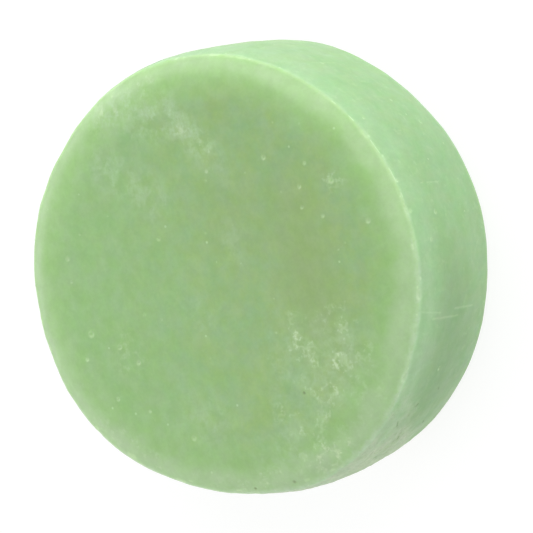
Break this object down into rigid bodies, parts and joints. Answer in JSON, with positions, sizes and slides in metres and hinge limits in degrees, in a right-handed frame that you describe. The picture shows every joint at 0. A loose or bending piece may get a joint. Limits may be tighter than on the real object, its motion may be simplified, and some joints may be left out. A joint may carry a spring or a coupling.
{
  "type": "shaving soap puck",
  "caption": "Short round block of pale green shaving soap with a softly bevelled lather face and a rounded back edge.",
  "frame": {"origin": "centre of the back face, which the puck lies on", "axes": "+Z along the puck's axis, towards the bevelled lather face; the disc looks the same from every side, so +X and -Y only mark where its wear lies"},
  "size_m": [0.068, 0.068, 0.025],
  "materials": {
    "soap": "satin"
  },
  "bodies": {
    "root": {"soap_puck": "soap"}
  },
  "joints": []
}
